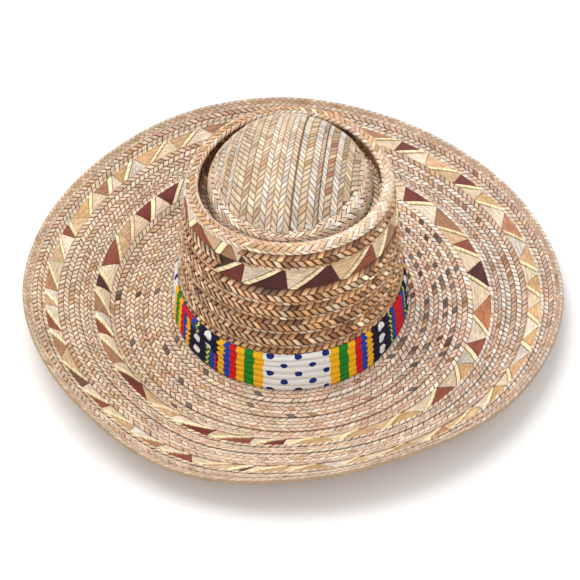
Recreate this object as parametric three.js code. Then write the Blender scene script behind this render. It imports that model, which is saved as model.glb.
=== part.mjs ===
import * as THREE from 'three';

// Straw hat with a wide curled brim and a domed, ridged crown, in millimetres, +Z up.
// The near side is -Y. Every straw piece is a wall sewn up from rows of flat plaited braid.

// Straw wall
const WALL = 2.2;
const ROW_STEP = 0.8;
const GAP = 0.3;
const SEGMENTS = 60;

// Crown ovals, half sizes. A negative egg makes the near side the wider one.
const SEAM_OVAL = { halfWidth: 87.5, halfLength: 102, egg: -0.03, centreX: 0, centreY: 0 };
const RIDGE_OVAL = { halfWidth: 75, halfLength: 83, egg: -0.06, centreX: 1.7, centreY: -3.3 };
const DOME = { halfWidth: 61, halfLength: 70, egg: -0.05, centreX: 1.5, centreY: -2.7, rise: 40 };

// Crown heights above the seam where the brim turns out
const CROWN_HEIGHT = 122;
const LOWER_ROWS_TOP = 88;
const CROWN_INSERT_TOP = 104.5;
const UPPER_ROW_TOP = 116.7;
const LOWER_ROW_COUNT = 7;

// Ridge round the top of the crown and the moat inside it
const RIDGE_WIDTH = 8.6;
const RIDGE_SIDE_DROP = 3.4;
const RIDGE_SHOULDER = { inset: 1.6, drop: 0.8 };
const MOAT_DEPTH = 12;

// Tip panel: straight strips of wide braid on top of the dome, as parts of the dome's half sizes.
// It reaches further down the near side, and its strips are turned a little from front to back.
const TIP_REACH = 0.85;
const TIP_NEAR_REACH = 0.945;
const TIP_SEAMS = [-0.84, -0.52, -0.205, 0.141, 0.434, 0.69, 0.84];
const TIP_TURN = THREE.MathUtils.degToRad(-9.9);
const TIP_STEPS_ALONG = 11;
const TIP_STEPS_ACROSS = 2;

// The flank climbs to a little below the panel, measured as an angle up the dome
const FLANK_CLEARANCE = 0.012;
const FLANK_JOINT_SHARE = 0.5;

// Brim, measured along the straw from the seam. It lies level between the two flat distances.
const BRIM_DIP = 3;
const FLAT_FROM = 22;
const FLAT_TO = 40;
const BRIM_REACH = 120;
const BRIM_STEP = 1;

// Rise of the brim over the seam at 60, 90 and 120 mm out, by direction round the oval
const BRIM_RISE = [
  { direction: 0, at60: -1, at90: 5, at120: 12 },
  { direction: 22.5, at60: -2, at90: 2, at120: 10 },
  { direction: 45, at60: -2, at90: 1, at120: 12 },
  { direction: 67.5, at60: 0, at90: 6, at120: 18 },
  { direction: 90, at60: 2, at90: 12, at120: 28 },
  { direction: 112.5, at60: 5, at90: 15, at120: 31 },
  { direction: 135, at60: 7, at90: 14, at120: 27 },
  { direction: 157.5, at60: 7, at90: 14, at120: 25 },
  { direction: 180, at60: 7, at90: 15, at120: 26 },
  { direction: 202.5, at60: 7, at90: 16, at120: 31 },
  { direction: 225, at60: 7, at90: 16, at120: 30 },
  { direction: 247.5, at60: 4, at90: 12, at120: 22 },
  { direction: 270, at60: 6, at90: 14, at120: 27 },
  { direction: 292.5, at60: 5, at90: 14, at120: 30 },
  { direction: 315, at60: 2, at90: 11, at120: 24 },
  { direction: 337.5, at60: 0, at90: 7, at120: 19 },
];

// Rows of the brim by piece: where the piece starts, how deep it is tucked in there, and each row's end
const BRIM_PIECES = [
  { name: 'brim_inner_rows', from: -WALL, tuck: 0, rowEnds: [11, 25, 39, 51], colour: '#cbb096' },
  { name: 'brim_inner_insert', from: 51, tuck: ROW_STEP, rowEnds: [67], colour: '#b58a63' },
  { name: 'brim_middle_rows', from: 67, tuck: ROW_STEP, rowEnds: [76, 92.4], colour: '#ccae95' },
  { name: 'brim_outer_insert', from: 92.4, tuck: ROW_STEP, rowEnds: [105], colour: '#bb9369' },
  { name: 'brim_outer_row', from: 105, tuck: ROW_STEP, rowEnds: [112.5], colour: '#c3a088' },
];
const EDGE_FROM = 112.5;
const EDGE_ROUND = 1.1;
const EDGE_SWELL = 0.3;

// Cloth band
const BAND_BOTTOM = 0.4;
const BAND_TOP = 33;
const BAND_CLEARANCE = 0.35;
const BAND_THICKNESS = 1.2;
const BAND_PLEATS = 4;
const PLEAT_DEPTH = 0.9;

const STRAW_ROUGHNESS = 0.75;

function straw(colour) {
  return new THREE.MeshStandardMaterial({ color: colour, roughness: STRAW_ROUGHNESS, metalness: 0 });
}

// A closed mesh from its corners and from quads given as four corner numbers each
function solid(name, points, quads, material) {
  const geometry = new THREE.BufferGeometry();
  geometry.setAttribute('position', new THREE.Float32BufferAttribute(points.flatMap((p) => p.toArray()), 3));
  geometry.setIndex(quads.flatMap(([a, b, c, d]) => [a, b, c, a, c, d]));
  geometry.computeVertexNormals();
  const mesh = new THREE.Mesh(geometry, material);
  mesh.name = name;
  return mesh;
}

// A ring whose section at each angle is a closed outline: over the outside, then back underneath
function ringSolid(name, colour, outlineAt) {
  const points = [];
  const quads = [];
  for (let turn = 0; turn < SEGMENTS; turn += 1) {
    points.push(...outlineAt((turn / SEGMENTS) * 2 * Math.PI));
  }
  const count = points.length / SEGMENTS;
  for (let turn = 0; turn < SEGMENTS; turn += 1) {
    const here = turn * count;
    const next = ((turn + 1) % SEGMENTS) * count;
    for (let i = 0; i < count; i += 1) {
      const j = (i + 1) % count;
      quads.push([here + i, here + j, next + j, next + i]);
    }
  }
  return solid(name, points, quads, straw(colour));
}

function ovalPoint(oval, angle) {
  const x = oval.halfWidth * Math.cos(angle) * (1 + oval.egg * Math.sin(angle));
  return new THREE.Vector2(oval.centreX + x, oval.centreY + oval.halfLength * Math.sin(angle));
}

// Unit vector pointing straight out of an oval at an angle
function outward(oval, angle) {
  const nudge = 0.001;
  const along = ovalPoint(oval, angle + nudge).sub(ovalPoint(oval, angle - nudge));
  return new THREE.Vector2(along.y, -along.x).normalize();
}

function mixOvals(from, to, share) {
  const mixed = {};
  for (const size of ['halfWidth', 'halfLength', 'egg', 'centreX', 'centreY']) {
    mixed[size] = THREE.MathUtils.lerp(from[size], to[size], share);
  }
  return mixed;
}

// A point of an oval pushed outwards by a distance, at a height
function offsetPoint(oval, angle, push, height) {
  const flat = ovalPoint(oval, angle).addScaledVector(outward(oval, angle), push);
  return new THREE.Vector3(flat.x, flat.y, height);
}

// One column of the rise table at any angle, by a smooth curve through its rows
function riseAt(column, angle) {
  const count = BRIM_RISE.length;
  const place = (angle / (2 * Math.PI)) * count;
  const row = Math.floor(place);
  const t = place - row;
  const [before, here, next, after] = [-1, 0, 1, 2].map((k) => BRIM_RISE[(row + k + count) % count][column]);
  const bend = 2 * before - 5 * here + 4 * next - after;
  return 0.5 * (2 * here + (next - before) * t + bend * t ** 2 + (3 * here - before - 3 * next + after) * t ** 3);
}

// Heights and slopes along the straw at the known distances of one direction
function brimKnots(angle) {
  const at = [0, FLAT_FROM, FLAT_TO, 60, 90, BRIM_REACH];
  const height = [0, -BRIM_DIP, -BRIM_DIP, riseAt('at60', angle), riseAt('at90', angle), riseAt('at120', angle)];
  const between = (i, j) => (height[j] - height[i]) / (at[j] - at[i]);
  const slope = [between(0, 1), 0, 0, between(2, 4), between(3, 5), 1.5 * between(4, 5) - 0.5 * between(3, 4)];
  return { at, height, slope };
}

function brimHeight(knots, distance) {
  const { at, height, slope } = knots;
  const inside = THREE.MathUtils.clamp(distance, 0, BRIM_REACH);
  const last = at.length - 2;
  const i = Math.min(last, at.findLastIndex((start) => start <= inside));
  const span = at[i + 1] - at[i];
  const t = (inside - at[i]) / span;
  const rise = (3 - 2 * t) * t ** 2;
  const leaving = t * (1 - t) ** 2 * span * slope[i];
  const arriving = t ** 2 * (t - 1) * span * slope[i + 1];
  return height[i] * (1 - rise) + height[i + 1] * rise + leaving + arriving;
}

// The straw keeps its width, so each small step along it reaches out less where it climbs more
function brimSection(angle) {
  const knots = brimKnots(angle);
  const reach = [0];
  const height = [0];
  for (let distance = BRIM_STEP; distance <= BRIM_REACH; distance += BRIM_STEP) {
    height.push(brimHeight(knots, distance));
    const climb = height.at(-1) - height.at(-2);
    reach.push(reach.at(-1) + Math.sqrt(BRIM_STEP ** 2 - climb ** 2));
  }
  return { reach, height };
}

// A point of the brim: distance out along the straw, and depth under its upper face
function brimPoint(section, angle, distance, depth) {
  const place = THREE.MathUtils.clamp(distance / BRIM_STEP, 0, BRIM_REACH / BRIM_STEP);
  const i = Math.min(Math.floor(place), BRIM_REACH / BRIM_STEP - 1);
  const run = section.reach[i + 1] - section.reach[i];
  const climb = section.height[i + 1] - section.height[i];
  const tilt = Math.atan2(climb, run);
  const inside = Math.min(distance, 0);
  const reach = section.reach[i] + run * (place - i) + inside + Math.sin(tilt) * depth;
  const height = section.height[i] + climb * (place - i) - Math.cos(tilt) * depth;
  return offsetPoint(SEAM_OVAL, angle, reach, height);
}

// A run of brim rows. Each row after the first starts tucked under the end of the one before.
function brimRows({ name, from, tuck, rowEnds, colour }) {
  const start = from + GAP / 2;
  const ends = [...rowEnds.slice(0, -1), rowEnds.at(-1) - GAP / 2];
  const top = [[start, tuck]];
  for (const end of ends) {
    top.push([end, 0], [end, ROW_STEP]);
  }
  top.pop();
  const under = [start, ...ends].map((distance) => [distance, WALL]);
  const outline = [...top, ...under.reverse()];
  return ringSolid(name, colour, (angle) => {
    const section = brimSection(angle);
    return outline.map(([distance, depth]) => brimPoint(section, angle, distance, depth));
  });
}

// The last row, folded over into a soft rounded rim
function brimEdge() {
  const from = EDGE_FROM + GAP / 2;
  const rim = BRIM_REACH - EDGE_ROUND;
  const outline = [
    [from, ROW_STEP],
    [rim, -EDGE_SWELL],
    [BRIM_REACH, WALL / 2],
    [rim, WALL + EDGE_SWELL],
    [from, WALL],
  ];
  return ringSolid('brim_edge', '#cdb79b', (angle) => {
    const section = brimSection(angle);
    return outline.map(([distance, depth]) => brimPoint(section, angle, distance, depth));
  });
}

// A point of the crown wall: height over the seam, and depth inside its outer face
function wallPoint(angle, height, depth) {
  const oval = mixOvals(SEAM_OVAL, RIDGE_OVAL, height / CROWN_HEIGHT);
  return offsetPoint(oval, angle, -depth, height);
}

// Rows of the crown wall, each one's lower edge lapping over the row below it
function crownRows(name, colour, bottom, top, rowCount) {
  const outline = [];
  for (let row = rowCount; row > 0; row -= 1) {
    const rowTop = THREE.MathUtils.lerp(bottom, top, row / rowCount);
    const rowBottom = THREE.MathUtils.lerp(bottom, top, (row - 1) / rowCount);
    outline.push([rowTop, ROW_STEP], [rowBottom, 0]);
  }
  outline.push([bottom, WALL], [top, WALL]);
  return ringSolid(name, colour, (angle) => outline.map(([height, depth]) => wallPoint(angle, height, depth)));
}

// The ridge: the wall rolls over and drops to the moat, as [inset from the outline, depth below the top]
function crownRidge() {
  const middle = RIDGE_WIDTH / 2;
  const lip = CROWN_HEIGHT - UPPER_ROW_TOP - GAP;
  const foot = MOAT_DEPTH - GAP;
  const { inset, drop: shoulder } = RIDGE_SHOULDER;
  const hollow = RIDGE_SIDE_DROP + shoulder;
  const outline = [
    [RIDGE_WIDTH, foot],
    [RIDGE_WIDTH, RIDGE_SIDE_DROP],
    [RIDGE_WIDTH - inset, shoulder],
    [middle, 0],
    [inset, shoulder],
    [0, RIDGE_SIDE_DROP],
    [-ROW_STEP, lip],
    [WALL - ROW_STEP, lip],
    [WALL, hollow],
    [middle, WALL],
    [RIDGE_WIDTH - WALL, hollow],
    [RIDGE_WIDTH - WALL, foot],
  ];
  return ringSolid('crown_ridge', '#b9956f', (angle) =>
    outline.map(([inward, down]) => offsetPoint(RIDGE_OVAL, angle, -inward, CROWN_HEIGHT - down)));
}

// A point of the dome: across and along as parts of its half sizes, and depth under its face
function domePoint(across, along, depth) {
  const up = Math.sqrt(Math.max(0, 1 - across ** 2 - along ** 2));
  const { halfWidth, halfLength, rise } = DOME;
  const out = new THREE.Vector3(across / halfWidth, along / halfLength, up / rise).normalize();
  const x = DOME.centreX + halfWidth * across * (1 + DOME.egg * along);
  const y = DOME.centreY + halfLength * along;
  return new THREE.Vector3(x, y, CROWN_HEIGHT - MOAT_DEPTH + rise * up).addScaledVector(out, -depth);
}

// How far the panel reaches along a strip, towards its far end or its near end, at a place across it
function panelReach(across, towards) {
  const reach = towards > 0 ? TIP_REACH : TIP_NEAR_REACH;
  return towards * reach * Math.sqrt(1 - (across / TIP_REACH) ** 2);
}

// A point of the dome's flank: climb from 0 at the moat to 1 just below the panel's edge
function flankPoint(angle, climb, depth) {
  const turned = angle - TIP_TURN;
  const reach = Math.sin(turned) > 0 ? TIP_REACH : TIP_NEAR_REACH;
  const edge = new THREE.Vector2(TIP_REACH * Math.cos(turned), reach * Math.sin(turned));
  edge.rotateAround(new THREE.Vector2(), TIP_TURN);
  const top = Math.acos(edge.length()) - FLANK_CLEARANCE;
  const foot = new THREE.Vector2(Math.cos(angle), Math.sin(angle));
  const place = foot.lerp(edge.normalize(), climb).setLength(Math.cos(climb * top));
  return domePoint(place.x, place.y, depth);
}

// Moat floor and the two rows that climb the dome's flank from it
function tipRows() {
  const flank = [
    [1, ROW_STEP],
    [FLANK_JOINT_SHARE, 0],
    [FLANK_JOINT_SHARE, ROW_STEP],
    [0, 0],
  ];
  const underside = [
    [0, WALL],
    [FLANK_JOINT_SHARE, WALL],
    [1, WALL],
  ];
  const rim = RIDGE_WIDTH - WALL + GAP / 2;
  const floor = CROWN_HEIGHT - MOAT_DEPTH;
  return ringSolid('tip_rows', '#bfa080', (angle) => {
    const onFlank = ([climb, depth]) => flankPoint(angle, climb, depth);
    const foot = underside.map(onFlank);
    foot[0].z = floor - WALL;
    return [
      ...flank.map(onFlank),
      offsetPoint(RIDGE_OVAL, angle, -rim, floor),
      offsetPoint(RIDGE_OVAL, angle, -rim, floor - WALL),
      ...foot,
    ];
  });
}

// One strip of the tip panel between two places across the dome
function tipStrip(name, left, right) {
  const points = [];
  const rows = TIP_STEPS_ALONG + 1;
  const columns = TIP_STEPS_ACROSS + 1;
  const leftAngle = Math.acos(left / TIP_REACH);
  const rightAngle = Math.acos(right / TIP_REACH);
  for (const face of [0, WALL]) {
    for (let row = 0; row < rows; row += 1) {
      for (let column = 0; column < columns; column += 1) {
        const across = TIP_REACH * Math.cos(THREE.MathUtils.lerp(leftAngle, rightAngle, column / TIP_STEPS_ACROSS));
        const along = THREE.MathUtils.lerp(panelReach(across, -1), panelReach(across, 1), row / TIP_STEPS_ALONG);
        const place = new THREE.Vector2(across, along).rotateAround(new THREE.Vector2(), TIP_TURN);
        const tuck = face === 0 ? (ROW_STEP * (right - across)) / (right - left) : 0;
        points.push(domePoint(place.x, place.y, face + tuck));
      }
    }
  }
  const upper = (row, column) => row * columns + column;
  const lower = (row, column) => rows * columns + upper(row, column);
  const quads = [];
  for (let row = 0; row < TIP_STEPS_ALONG; row += 1) {
    for (let column = 0; column < TIP_STEPS_ACROSS; column += 1) {
      const corners = [[row, column], [row, column + 1], [row + 1, column + 1], [row + 1, column]];
      quads.push(corners.map(([r, c]) => upper(r, c)));
      quads.push(corners.map(([r, c]) => lower(r, c)).reverse());
    }
    const end = TIP_STEPS_ACROSS;
    quads.push([upper(row + 1, 0), lower(row + 1, 0), lower(row, 0), upper(row, 0)]);
    quads.push([upper(row, end), lower(row, end), lower(row + 1, end), upper(row + 1, end)]);
  }
  for (let column = 0; column < TIP_STEPS_ACROSS; column += 1) {
    const end = TIP_STEPS_ALONG;
    quads.push([upper(0, column), lower(0, column), lower(0, column + 1), upper(0, column + 1)]);
    quads.push([upper(end, column + 1), lower(end, column + 1), lower(end, column), upper(end, column)]);
  }
  return solid(name, points, quads, straw('#d8c6a8'));
}

// Cloth band round the foot of the crown, pleated lengthwise
function hatBand() {
  const outline = [];
  const steps = BAND_PLEATS * 2;
  for (let step = 0; step <= steps; step += 1) {
    const height = THREE.MathUtils.lerp(BAND_TOP, BAND_BOTTOM, step / steps);
    const proud = step % 2 === 1 ? PLEAT_DEPTH : 0;
    outline.push([height, -BAND_CLEARANCE - BAND_THICKNESS - proud]);
  }
  outline.push([BAND_BOTTOM, -BAND_CLEARANCE], [BAND_TOP, -BAND_CLEARANCE]);
  return ringSolid('hat_band', '#e9e3d8', (angle) =>
    outline.map(([height, depth]) => wallPoint(angle, height, depth)));
}

const hat = new THREE.Group();

for (const piece of BRIM_PIECES) {
  hat.add(brimRows(piece));
}
hat.add(brimEdge());
hat.add(crownRows('crown_lower_rows', '#b08c66', GAP, LOWER_ROWS_TOP - GAP, LOWER_ROW_COUNT));
hat.add(crownRows('crown_insert', '#a5774f', LOWER_ROWS_TOP, CROWN_INSERT_TOP - GAP, 1));
hat.add(crownRows('crown_upper_row', '#a98460', CROWN_INSERT_TOP, UPPER_ROW_TOP, 1));
hat.add(crownRidge());
hat.add(tipRows());
for (let strip = 1; strip < TIP_SEAMS.length; strip += 1) {
  const margin = GAP / 2 / DOME.halfWidth;
  hat.add(tipStrip(`tip_strip_${strip}`, TIP_SEAMS[strip - 1] + margin, TIP_SEAMS[strip] - margin));
}
hat.add(hatBand());

// The hat rests on its brim, with the middle of its outline over the origin
const bounds = new THREE.Box3().setFromObject(hat);
const middle = bounds.getCenter(new THREE.Vector3());
hat.position.set(-middle.x, -middle.y, -bounds.min.z);

export default hat;
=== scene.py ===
# %% [markdown]
# # A wide straw hat with a printed cloth band
# The hat is sewn from long flat plaits of palm straw, with a pleated band of printed cotton round its
# crown. A picture of straw on a smooth shape would look flat from the side, and hair strands would be too
# thin. So every straw here is a small closed strip, laid on the same curved surfaces as the measured
# model. The first cell loads that model, and later cells replace its pieces one by one.

# %% Load the measured model
import math
import bpy
import numpy as np
from mathutils import Matrix, Vector


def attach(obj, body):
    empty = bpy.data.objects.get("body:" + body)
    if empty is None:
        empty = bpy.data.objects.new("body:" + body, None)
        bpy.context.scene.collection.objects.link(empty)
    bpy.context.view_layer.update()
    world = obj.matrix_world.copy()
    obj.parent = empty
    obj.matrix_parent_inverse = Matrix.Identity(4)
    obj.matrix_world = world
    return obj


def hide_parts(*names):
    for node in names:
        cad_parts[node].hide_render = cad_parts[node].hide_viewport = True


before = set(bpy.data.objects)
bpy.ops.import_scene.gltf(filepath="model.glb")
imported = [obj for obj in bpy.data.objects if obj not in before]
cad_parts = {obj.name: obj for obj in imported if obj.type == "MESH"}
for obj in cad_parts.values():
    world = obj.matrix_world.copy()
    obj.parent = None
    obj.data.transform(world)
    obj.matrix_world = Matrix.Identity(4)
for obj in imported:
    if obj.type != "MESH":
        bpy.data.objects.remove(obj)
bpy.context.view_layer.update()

print("pieces of the measured model:", sorted(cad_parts))

# %% [markdown]
# ## The ovals of the crown
# A crown is an oval, like a head. Its foot and its ridge are two ovals, a little wider at the near side,
# and each height of the wall between them has an oval of its own. They could be drawn as curves and
# joined by a modifier, but a formula gives the place and the way straight out at any angle, and the
# straws need both. All the surfaces are in millimetres over the seam where the crown meets the brim.

# %% Ovals
TURN = 2 * np.pi
# half width, half length, egg, and the middle's x and y
SEAM = (87.5, 102.0, -0.03, 0.0, 0.0)
RIDGE = (75.0, 83.0, -0.06, 1.7, -3.3)
CROWN_HEIGHT = 122.0


def oval(shape, angle):
    """x = cx + a cos(t) (1 + egg sin(t)), y = cy + b sin(t), and the unit vector straight out of it.

    That vector is the way along the oval, which is how x and y change with t, turned by a right angle.
    """
    half_width, half_length, egg, centre_x, centre_y = shape
    c, s = np.cos(angle), np.sin(angle)
    x = centre_x + half_width * c * (1 + egg * s)
    y = centre_y + half_length * s
    along_x = half_width * (egg * c * c - s * (1 + egg * s))
    along_y = half_length * c
    size = np.hypot(along_x, along_y)
    return x, y, along_y / size, -along_x / size


def oval_offset(shape, angle, push, height):
    """The oval's point pushed straight out by a distance, at a height."""
    x, y, out_x, out_y = oval(shape, angle)
    return np.stack(np.broadcast_arrays(x + out_x * push, y + out_y * push, height), -1)


def wall(angle, height, lift):
    """The crown's wall: the seam's oval at the foot, the ridge's at the top, mixed in a straight line."""
    share = height / CROWN_HEIGHT
    shape = [a + (b - a) * share for a, b in zip(SEAM, RIDGE)]
    return oval_offset(shape, angle, lift, height)


print("crown's foot, mm:", 2 * SEAM[0], "by", 2 * SEAM[1])

# %% [markdown]
# ## The brim's surface
# The brim dips next to the crown, lies level where the hat rests, and then curls up, more at some places
# than at others. It could be pulled into shape with a sculpting brush. A table of heights is surer: it
# gives the rise at three distances in sixteen directions, and smooth curves run through them. Straw
# doesn't stretch, so distances are measured along the slope, and all rows keep their width.

# %% Heights of the brim
BRIM_RISE = np.array([
    # mm up at 60, 90 and 120 mm out, from the right side round by the far side
    (-1, 5, 12), (-2, 2, 10), (-2, 1, 12), (0, 6, 18), (2, 12, 28), (5, 15, 31), (7, 14, 27), (7, 14, 25),
    (7, 15, 26), (7, 16, 31), (7, 16, 30), (4, 12, 22), (6, 14, 27), (5, 14, 30), (2, 11, 24), (0, 7, 19),
], float)
BRIM_DIP = 3
KNOTS = np.array([0, 22, 40, 60, 90, 120], float)
BRIM_REACH = 120.0
STEP = 0.5
TURN_STEPS = 720
angles = np.linspace(0, TURN, TURN_STEPS + 1)
distances = np.arange(0, BRIM_REACH + STEP / 2, STEP)


def rise_table(angle):
    """Each column of the table at any angle: a cubic that leaves each row along its neighbours' line."""
    place = angle / TURN * len(BRIM_RISE)
    row = np.floor(place).astype(int)
    t = (place - row)[:, None]
    before, here, after, last = [BRIM_RISE[(row + k) % len(BRIM_RISE)] for k in (-1, 0, 1, 2)]
    bend = 2 * before - 5 * here + 4 * after - last
    twist = 3 * here - before - 3 * after + last
    return 0.5 * (2 * here + (after - before) * t + bend * t**2 + twist * t**3)


rises = rise_table(angles)
zero = np.zeros(len(angles))
knot_height = np.stack([zero, zero - BRIM_DIP, zero - BRIM_DIP, *rises.T], 1)
print("rim's rise over the seam, mm:", rises[:, 2].min().round(1), "to", rises[:, 2].max().round(1))

# %% Surface of the brim


def between(i, j):
    """The slope between two knots: the difference of their heights over that of their distances."""
    return (knot_height[:, j] - knot_height[:, i]) / (KNOTS[j] - KNOTS[i])


end_slope = 1.5 * between(4, 5) - 0.5 * between(3, 4)
knot_slope = np.stack([between(0, 1), zero, zero, between(2, 4), between(3, 5), end_slope], 1)
from_knot = np.clip(np.searchsorted(KNOTS, distances, side="right") - 1, 0, 4)
to_knot = from_knot + 1
span = KNOTS[to_knot] - KNOTS[from_knot]
t = (distances - KNOTS[from_knot]) / span
blend = (3 - 2 * t) * t**2
# between two knots the height is the cubic that has the heights and the slopes of both
brim_height = (knot_height[:, from_knot] * (1 - blend) + knot_height[:, to_knot] * blend
               + t * (1 - t) ** 2 * span * knot_slope[:, from_knot]
               + t**2 * (t - 1) * span * knot_slope[:, to_knot])
climb = np.diff(brim_height, axis=1)
brim_reach = np.concatenate([zero[:, None], np.cumsum(np.sqrt(STEP**2 - climb**2), axis=1)], 1)
brim_tilt = np.arctan2(np.gradient(brim_height, axis=1), np.gradient(brim_reach, axis=1))


def sample(table, angle, distance):
    """A value of a table by angle and distance, mixed in straight lines from its four nearest entries."""
    i = np.mod(angle / TURN, 1) * TURN_STEPS
    j = np.clip(distance / STEP, 0, len(distances) - 1.001)
    i0, j0 = np.floor(i).astype(int), np.floor(j).astype(int)
    di, dj = i - i0, j - j0
    i0 = i0 % TURN_STEPS
    near = table[i0, j0] * (1 - dj) + table[i0, j0 + 1] * dj
    far = table[i0 + 1, j0] * (1 - dj) + table[i0 + 1, j0 + 1] * dj
    return near * (1 - di) + far * di


def brim(angle, distance, lift):
    """The brim's point: distance out along the straw, and lift square to its upper face."""
    angle, distance, lift = np.broadcast_arrays(angle, distance, lift)
    tilt = sample(brim_tilt, angle, distance)
    reach = sample(brim_reach, angle, distance) + np.minimum(distance, 0) - np.sin(tilt) * lift
    return oval_offset(SEAM, angle, reach, sample(brim_height, angle, distance) + np.cos(tilt) * lift)


SEAM_OVER_FLOOR = 5.2
rim = brim(angles, BRIM_REACH, 0.0)
middle_x, middle_y = [(rim[:, axis].min() + rim[:, axis].max()) / 2 for axis in (0, 1)]
SHIFT = np.array([-middle_x, -middle_y, SEAM_OVER_FLOOR])
print("from the seam's middle to the model's origin, mm:", SHIFT.round(3))

# %% [markdown]
# ## Ridge and dome
# At the top the wall rolls over a ridge and drops into a moat, and from the moat's floor the dome rises.
# The ridge is a section carried round an oval, as a picture frame is. The dome could be a squashed
# sphere, but as a formula it takes both the straws that climb its flank and those that cross its top in
# strips.

# %% Surface of the ridge
RIDGE_WIDTH = 8.6
ROLL_HALF = 4.3
ROLL_RISE = 3.4
roll = np.linspace(0, np.pi, 25)
# inset from the wall and drop from the top, for the outer foot, the roll and the inner foot
ridge_path = np.concatenate([
    [[-0.8, 5.0], [-0.45, 4.3]],
    np.stack([ROLL_HALF - ROLL_HALF * np.cos(roll), ROLL_RISE - ROLL_RISE * np.sin(roll)], 1),
    [[RIDGE_WIDTH, 7.0], [RIDGE_WIDTH, 11.7]],
])
ridge_run = np.concatenate([[0], np.cumsum(np.hypot(*np.diff(ridge_path, axis=0).T))])
ridge_out = np.gradient(ridge_path, axis=0)
ridge_out = np.stack([-ridge_out[:, 1], ridge_out[:, 0]], 1) / np.hypot(*ridge_out.T)[:, None]
RIDGE_RUN = ridge_run[-1]


def ridge(angle, run, lift):
    """The ridge's point: run along its section from the outer foot over the top to the inner foot.

    Inset and drop are read from the section, with lift times its outward vector added to them, and the
    oval carries them round.
    """
    inset, drop, out_in, out_down = [np.interp(run, ridge_run, v) for v in (*ridge_path.T, *ridge_out.T)]
    push = -(inset + out_in * -lift)
    down = drop + out_down * -lift
    return oval_offset(RIDGE, angle, push, CROWN_HEIGHT - down)


print("once over the ridge, mm:", round(float(RIDGE_RUN), 1))

# %% Surfaces of the dome
DOME = (61.0, 70.0, -0.05, 1.5, -2.7)
DOME_RISE = 40.0
MOAT_FLOOR = 110.0


def dome(across, along, lift):
    """A cap on the moat's floor: height = rise times the root of 1 - across^2 - along^2."""
    half_width, half_length, egg, centre_x, centre_y = DOME
    up = np.sqrt(np.maximum(0, 1 - across**2 - along**2))
    out = np.stack([across / half_width, along / half_length, up / DOME_RISE], -1)
    out /= np.linalg.norm(out, axis=-1, keepdims=True)
    point = np.stack([centre_x + half_width * across * (1 + egg * along), centre_y + half_length * along,
                      MOAT_FLOOR + DOME_RISE * up], -1)
    return point + out * lift[..., None]


TIP_TURN = math.radians(-9.9)
TIP_REACH = 0.85
TIP_NEAR_REACH = 0.945
FLANK_RUN = 22.0


def turned(x, y, angle):
    """A point turned about the middle: x cos - y sin, and x sin + y cos."""
    c, s = math.cos(angle), math.sin(angle)
    return x * c - y * s, x * s + y * c


def flank(angle, run, lift):
    """The dome's flank: run goes up from the moat's floor at 0 to the edge of the strips at FLANK_RUN.

    The direction changes in a straight line from one to the other, and the distance from the middle is the
    cosine of a share of its angle at the edge.
    """
    angle, run, lift = np.broadcast_arrays(angle, run, lift)
    own = angle - TIP_TURN
    reach = np.where(np.sin(own) > 0, TIP_REACH, TIP_NEAR_REACH)
    edge_x, edge_y = turned(TIP_REACH * np.cos(own), reach * np.sin(own), TIP_TURN)
    size = np.hypot(edge_x, edge_y)
    climb = run / FLANK_RUN
    x = np.cos(angle) * (1 - climb) + edge_x / size * climb
    y = np.sin(angle) * (1 - climb) + edge_y / size * climb
    share = np.cos(climb * np.arccos(size)) / np.hypot(x, y)
    return dome(x * share, y * share, lift)


def tip(along, across, lift):
    """The top of the dome, from millimetres along and across its strips."""
    along, across, lift = np.broadcast_arrays(along, across, lift)
    return dome(*turned(across / DOME[0], along / DOME[1], TIP_TURN), lift)


print("dome's top over the seam, mm:", MOAT_FLOOR + DOME_RISE)

# %% [markdown]
# ## Camera
# The hat is seen from 42 degrees over its near side, from well back, so that it is hardly foreshortened.
# The camera could be moved by eye. Its place and lens were worked out instead, so that the brim, its
# rounds and the ridge all lie where they do in the picture.

# %% Camera
TARGET = np.array([-0.0028, 0.0002, 0.0113])
DISTANCE = 1.6293
ELEVATION = math.radians(42)
ROLL = math.radians(-1.746)
SENSOR = 36
FOCAL_PIXELS = 2140.9
PICTURE_PIXELS = 580
scene = bpy.context.scene
camera = bpy.data.objects.new("camera", bpy.data.cameras.new("camera"))
scene.collection.objects.link(camera)
camera.data.sensor_width = SENSOR
camera.data.lens = SENSOR * FOCAL_PIXELS / PICTURE_PIXELS
camera.data.clip_end = 20
away = np.array([0, -math.cos(ELEVATION), math.sin(ELEVATION)])
camera.location = TARGET + away * DISTANCE
camera.rotation_euler = (math.pi / 2 - ELEVATION, 0, 0)
bpy.context.view_layer.update()
camera.matrix_world = camera.matrix_world @ Matrix.Rotation(ROLL, 4, "Z")
scene.camera = camera
scene.view_settings.view_transform = "Standard"
print("lens, mm:", round(camera.data.lens, 1))

# %% [markdown]
# ## Light and floor
# Straw shows best in soft light that still has a direction, because each straw then has a light side and
# a dark one. A pale world alone would make it flat, and a small lamp would make it hard. So a large lamp
# from above does most, a weaker one fills the front, and the world lifts the shadows. The floor is plain
# and pale.

# %% Light and floor
LIT_HEIGHT = 0.08
WORLD_STRENGTH = 0.86
FLOOR_HALF = 4


def soft_light(name, place, size, power, colour):
    """A square lamp at a place, turned so that it faces the hat."""
    lamp = bpy.data.lights.new(name, "AREA")
    lamp.size = size
    lamp.energy = power
    lamp.color = colour
    holder = bpy.data.objects.new(name, lamp)
    scene.collection.objects.link(holder)
    holder.location = place
    toward = Vector(np.array([0, 0, LIT_HEIGHT]) - np.array(place))
    holder.rotation_euler = toward.to_track_quat("-Z", "Y").to_euler()
    print("lamp", name, "at", place)


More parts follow.
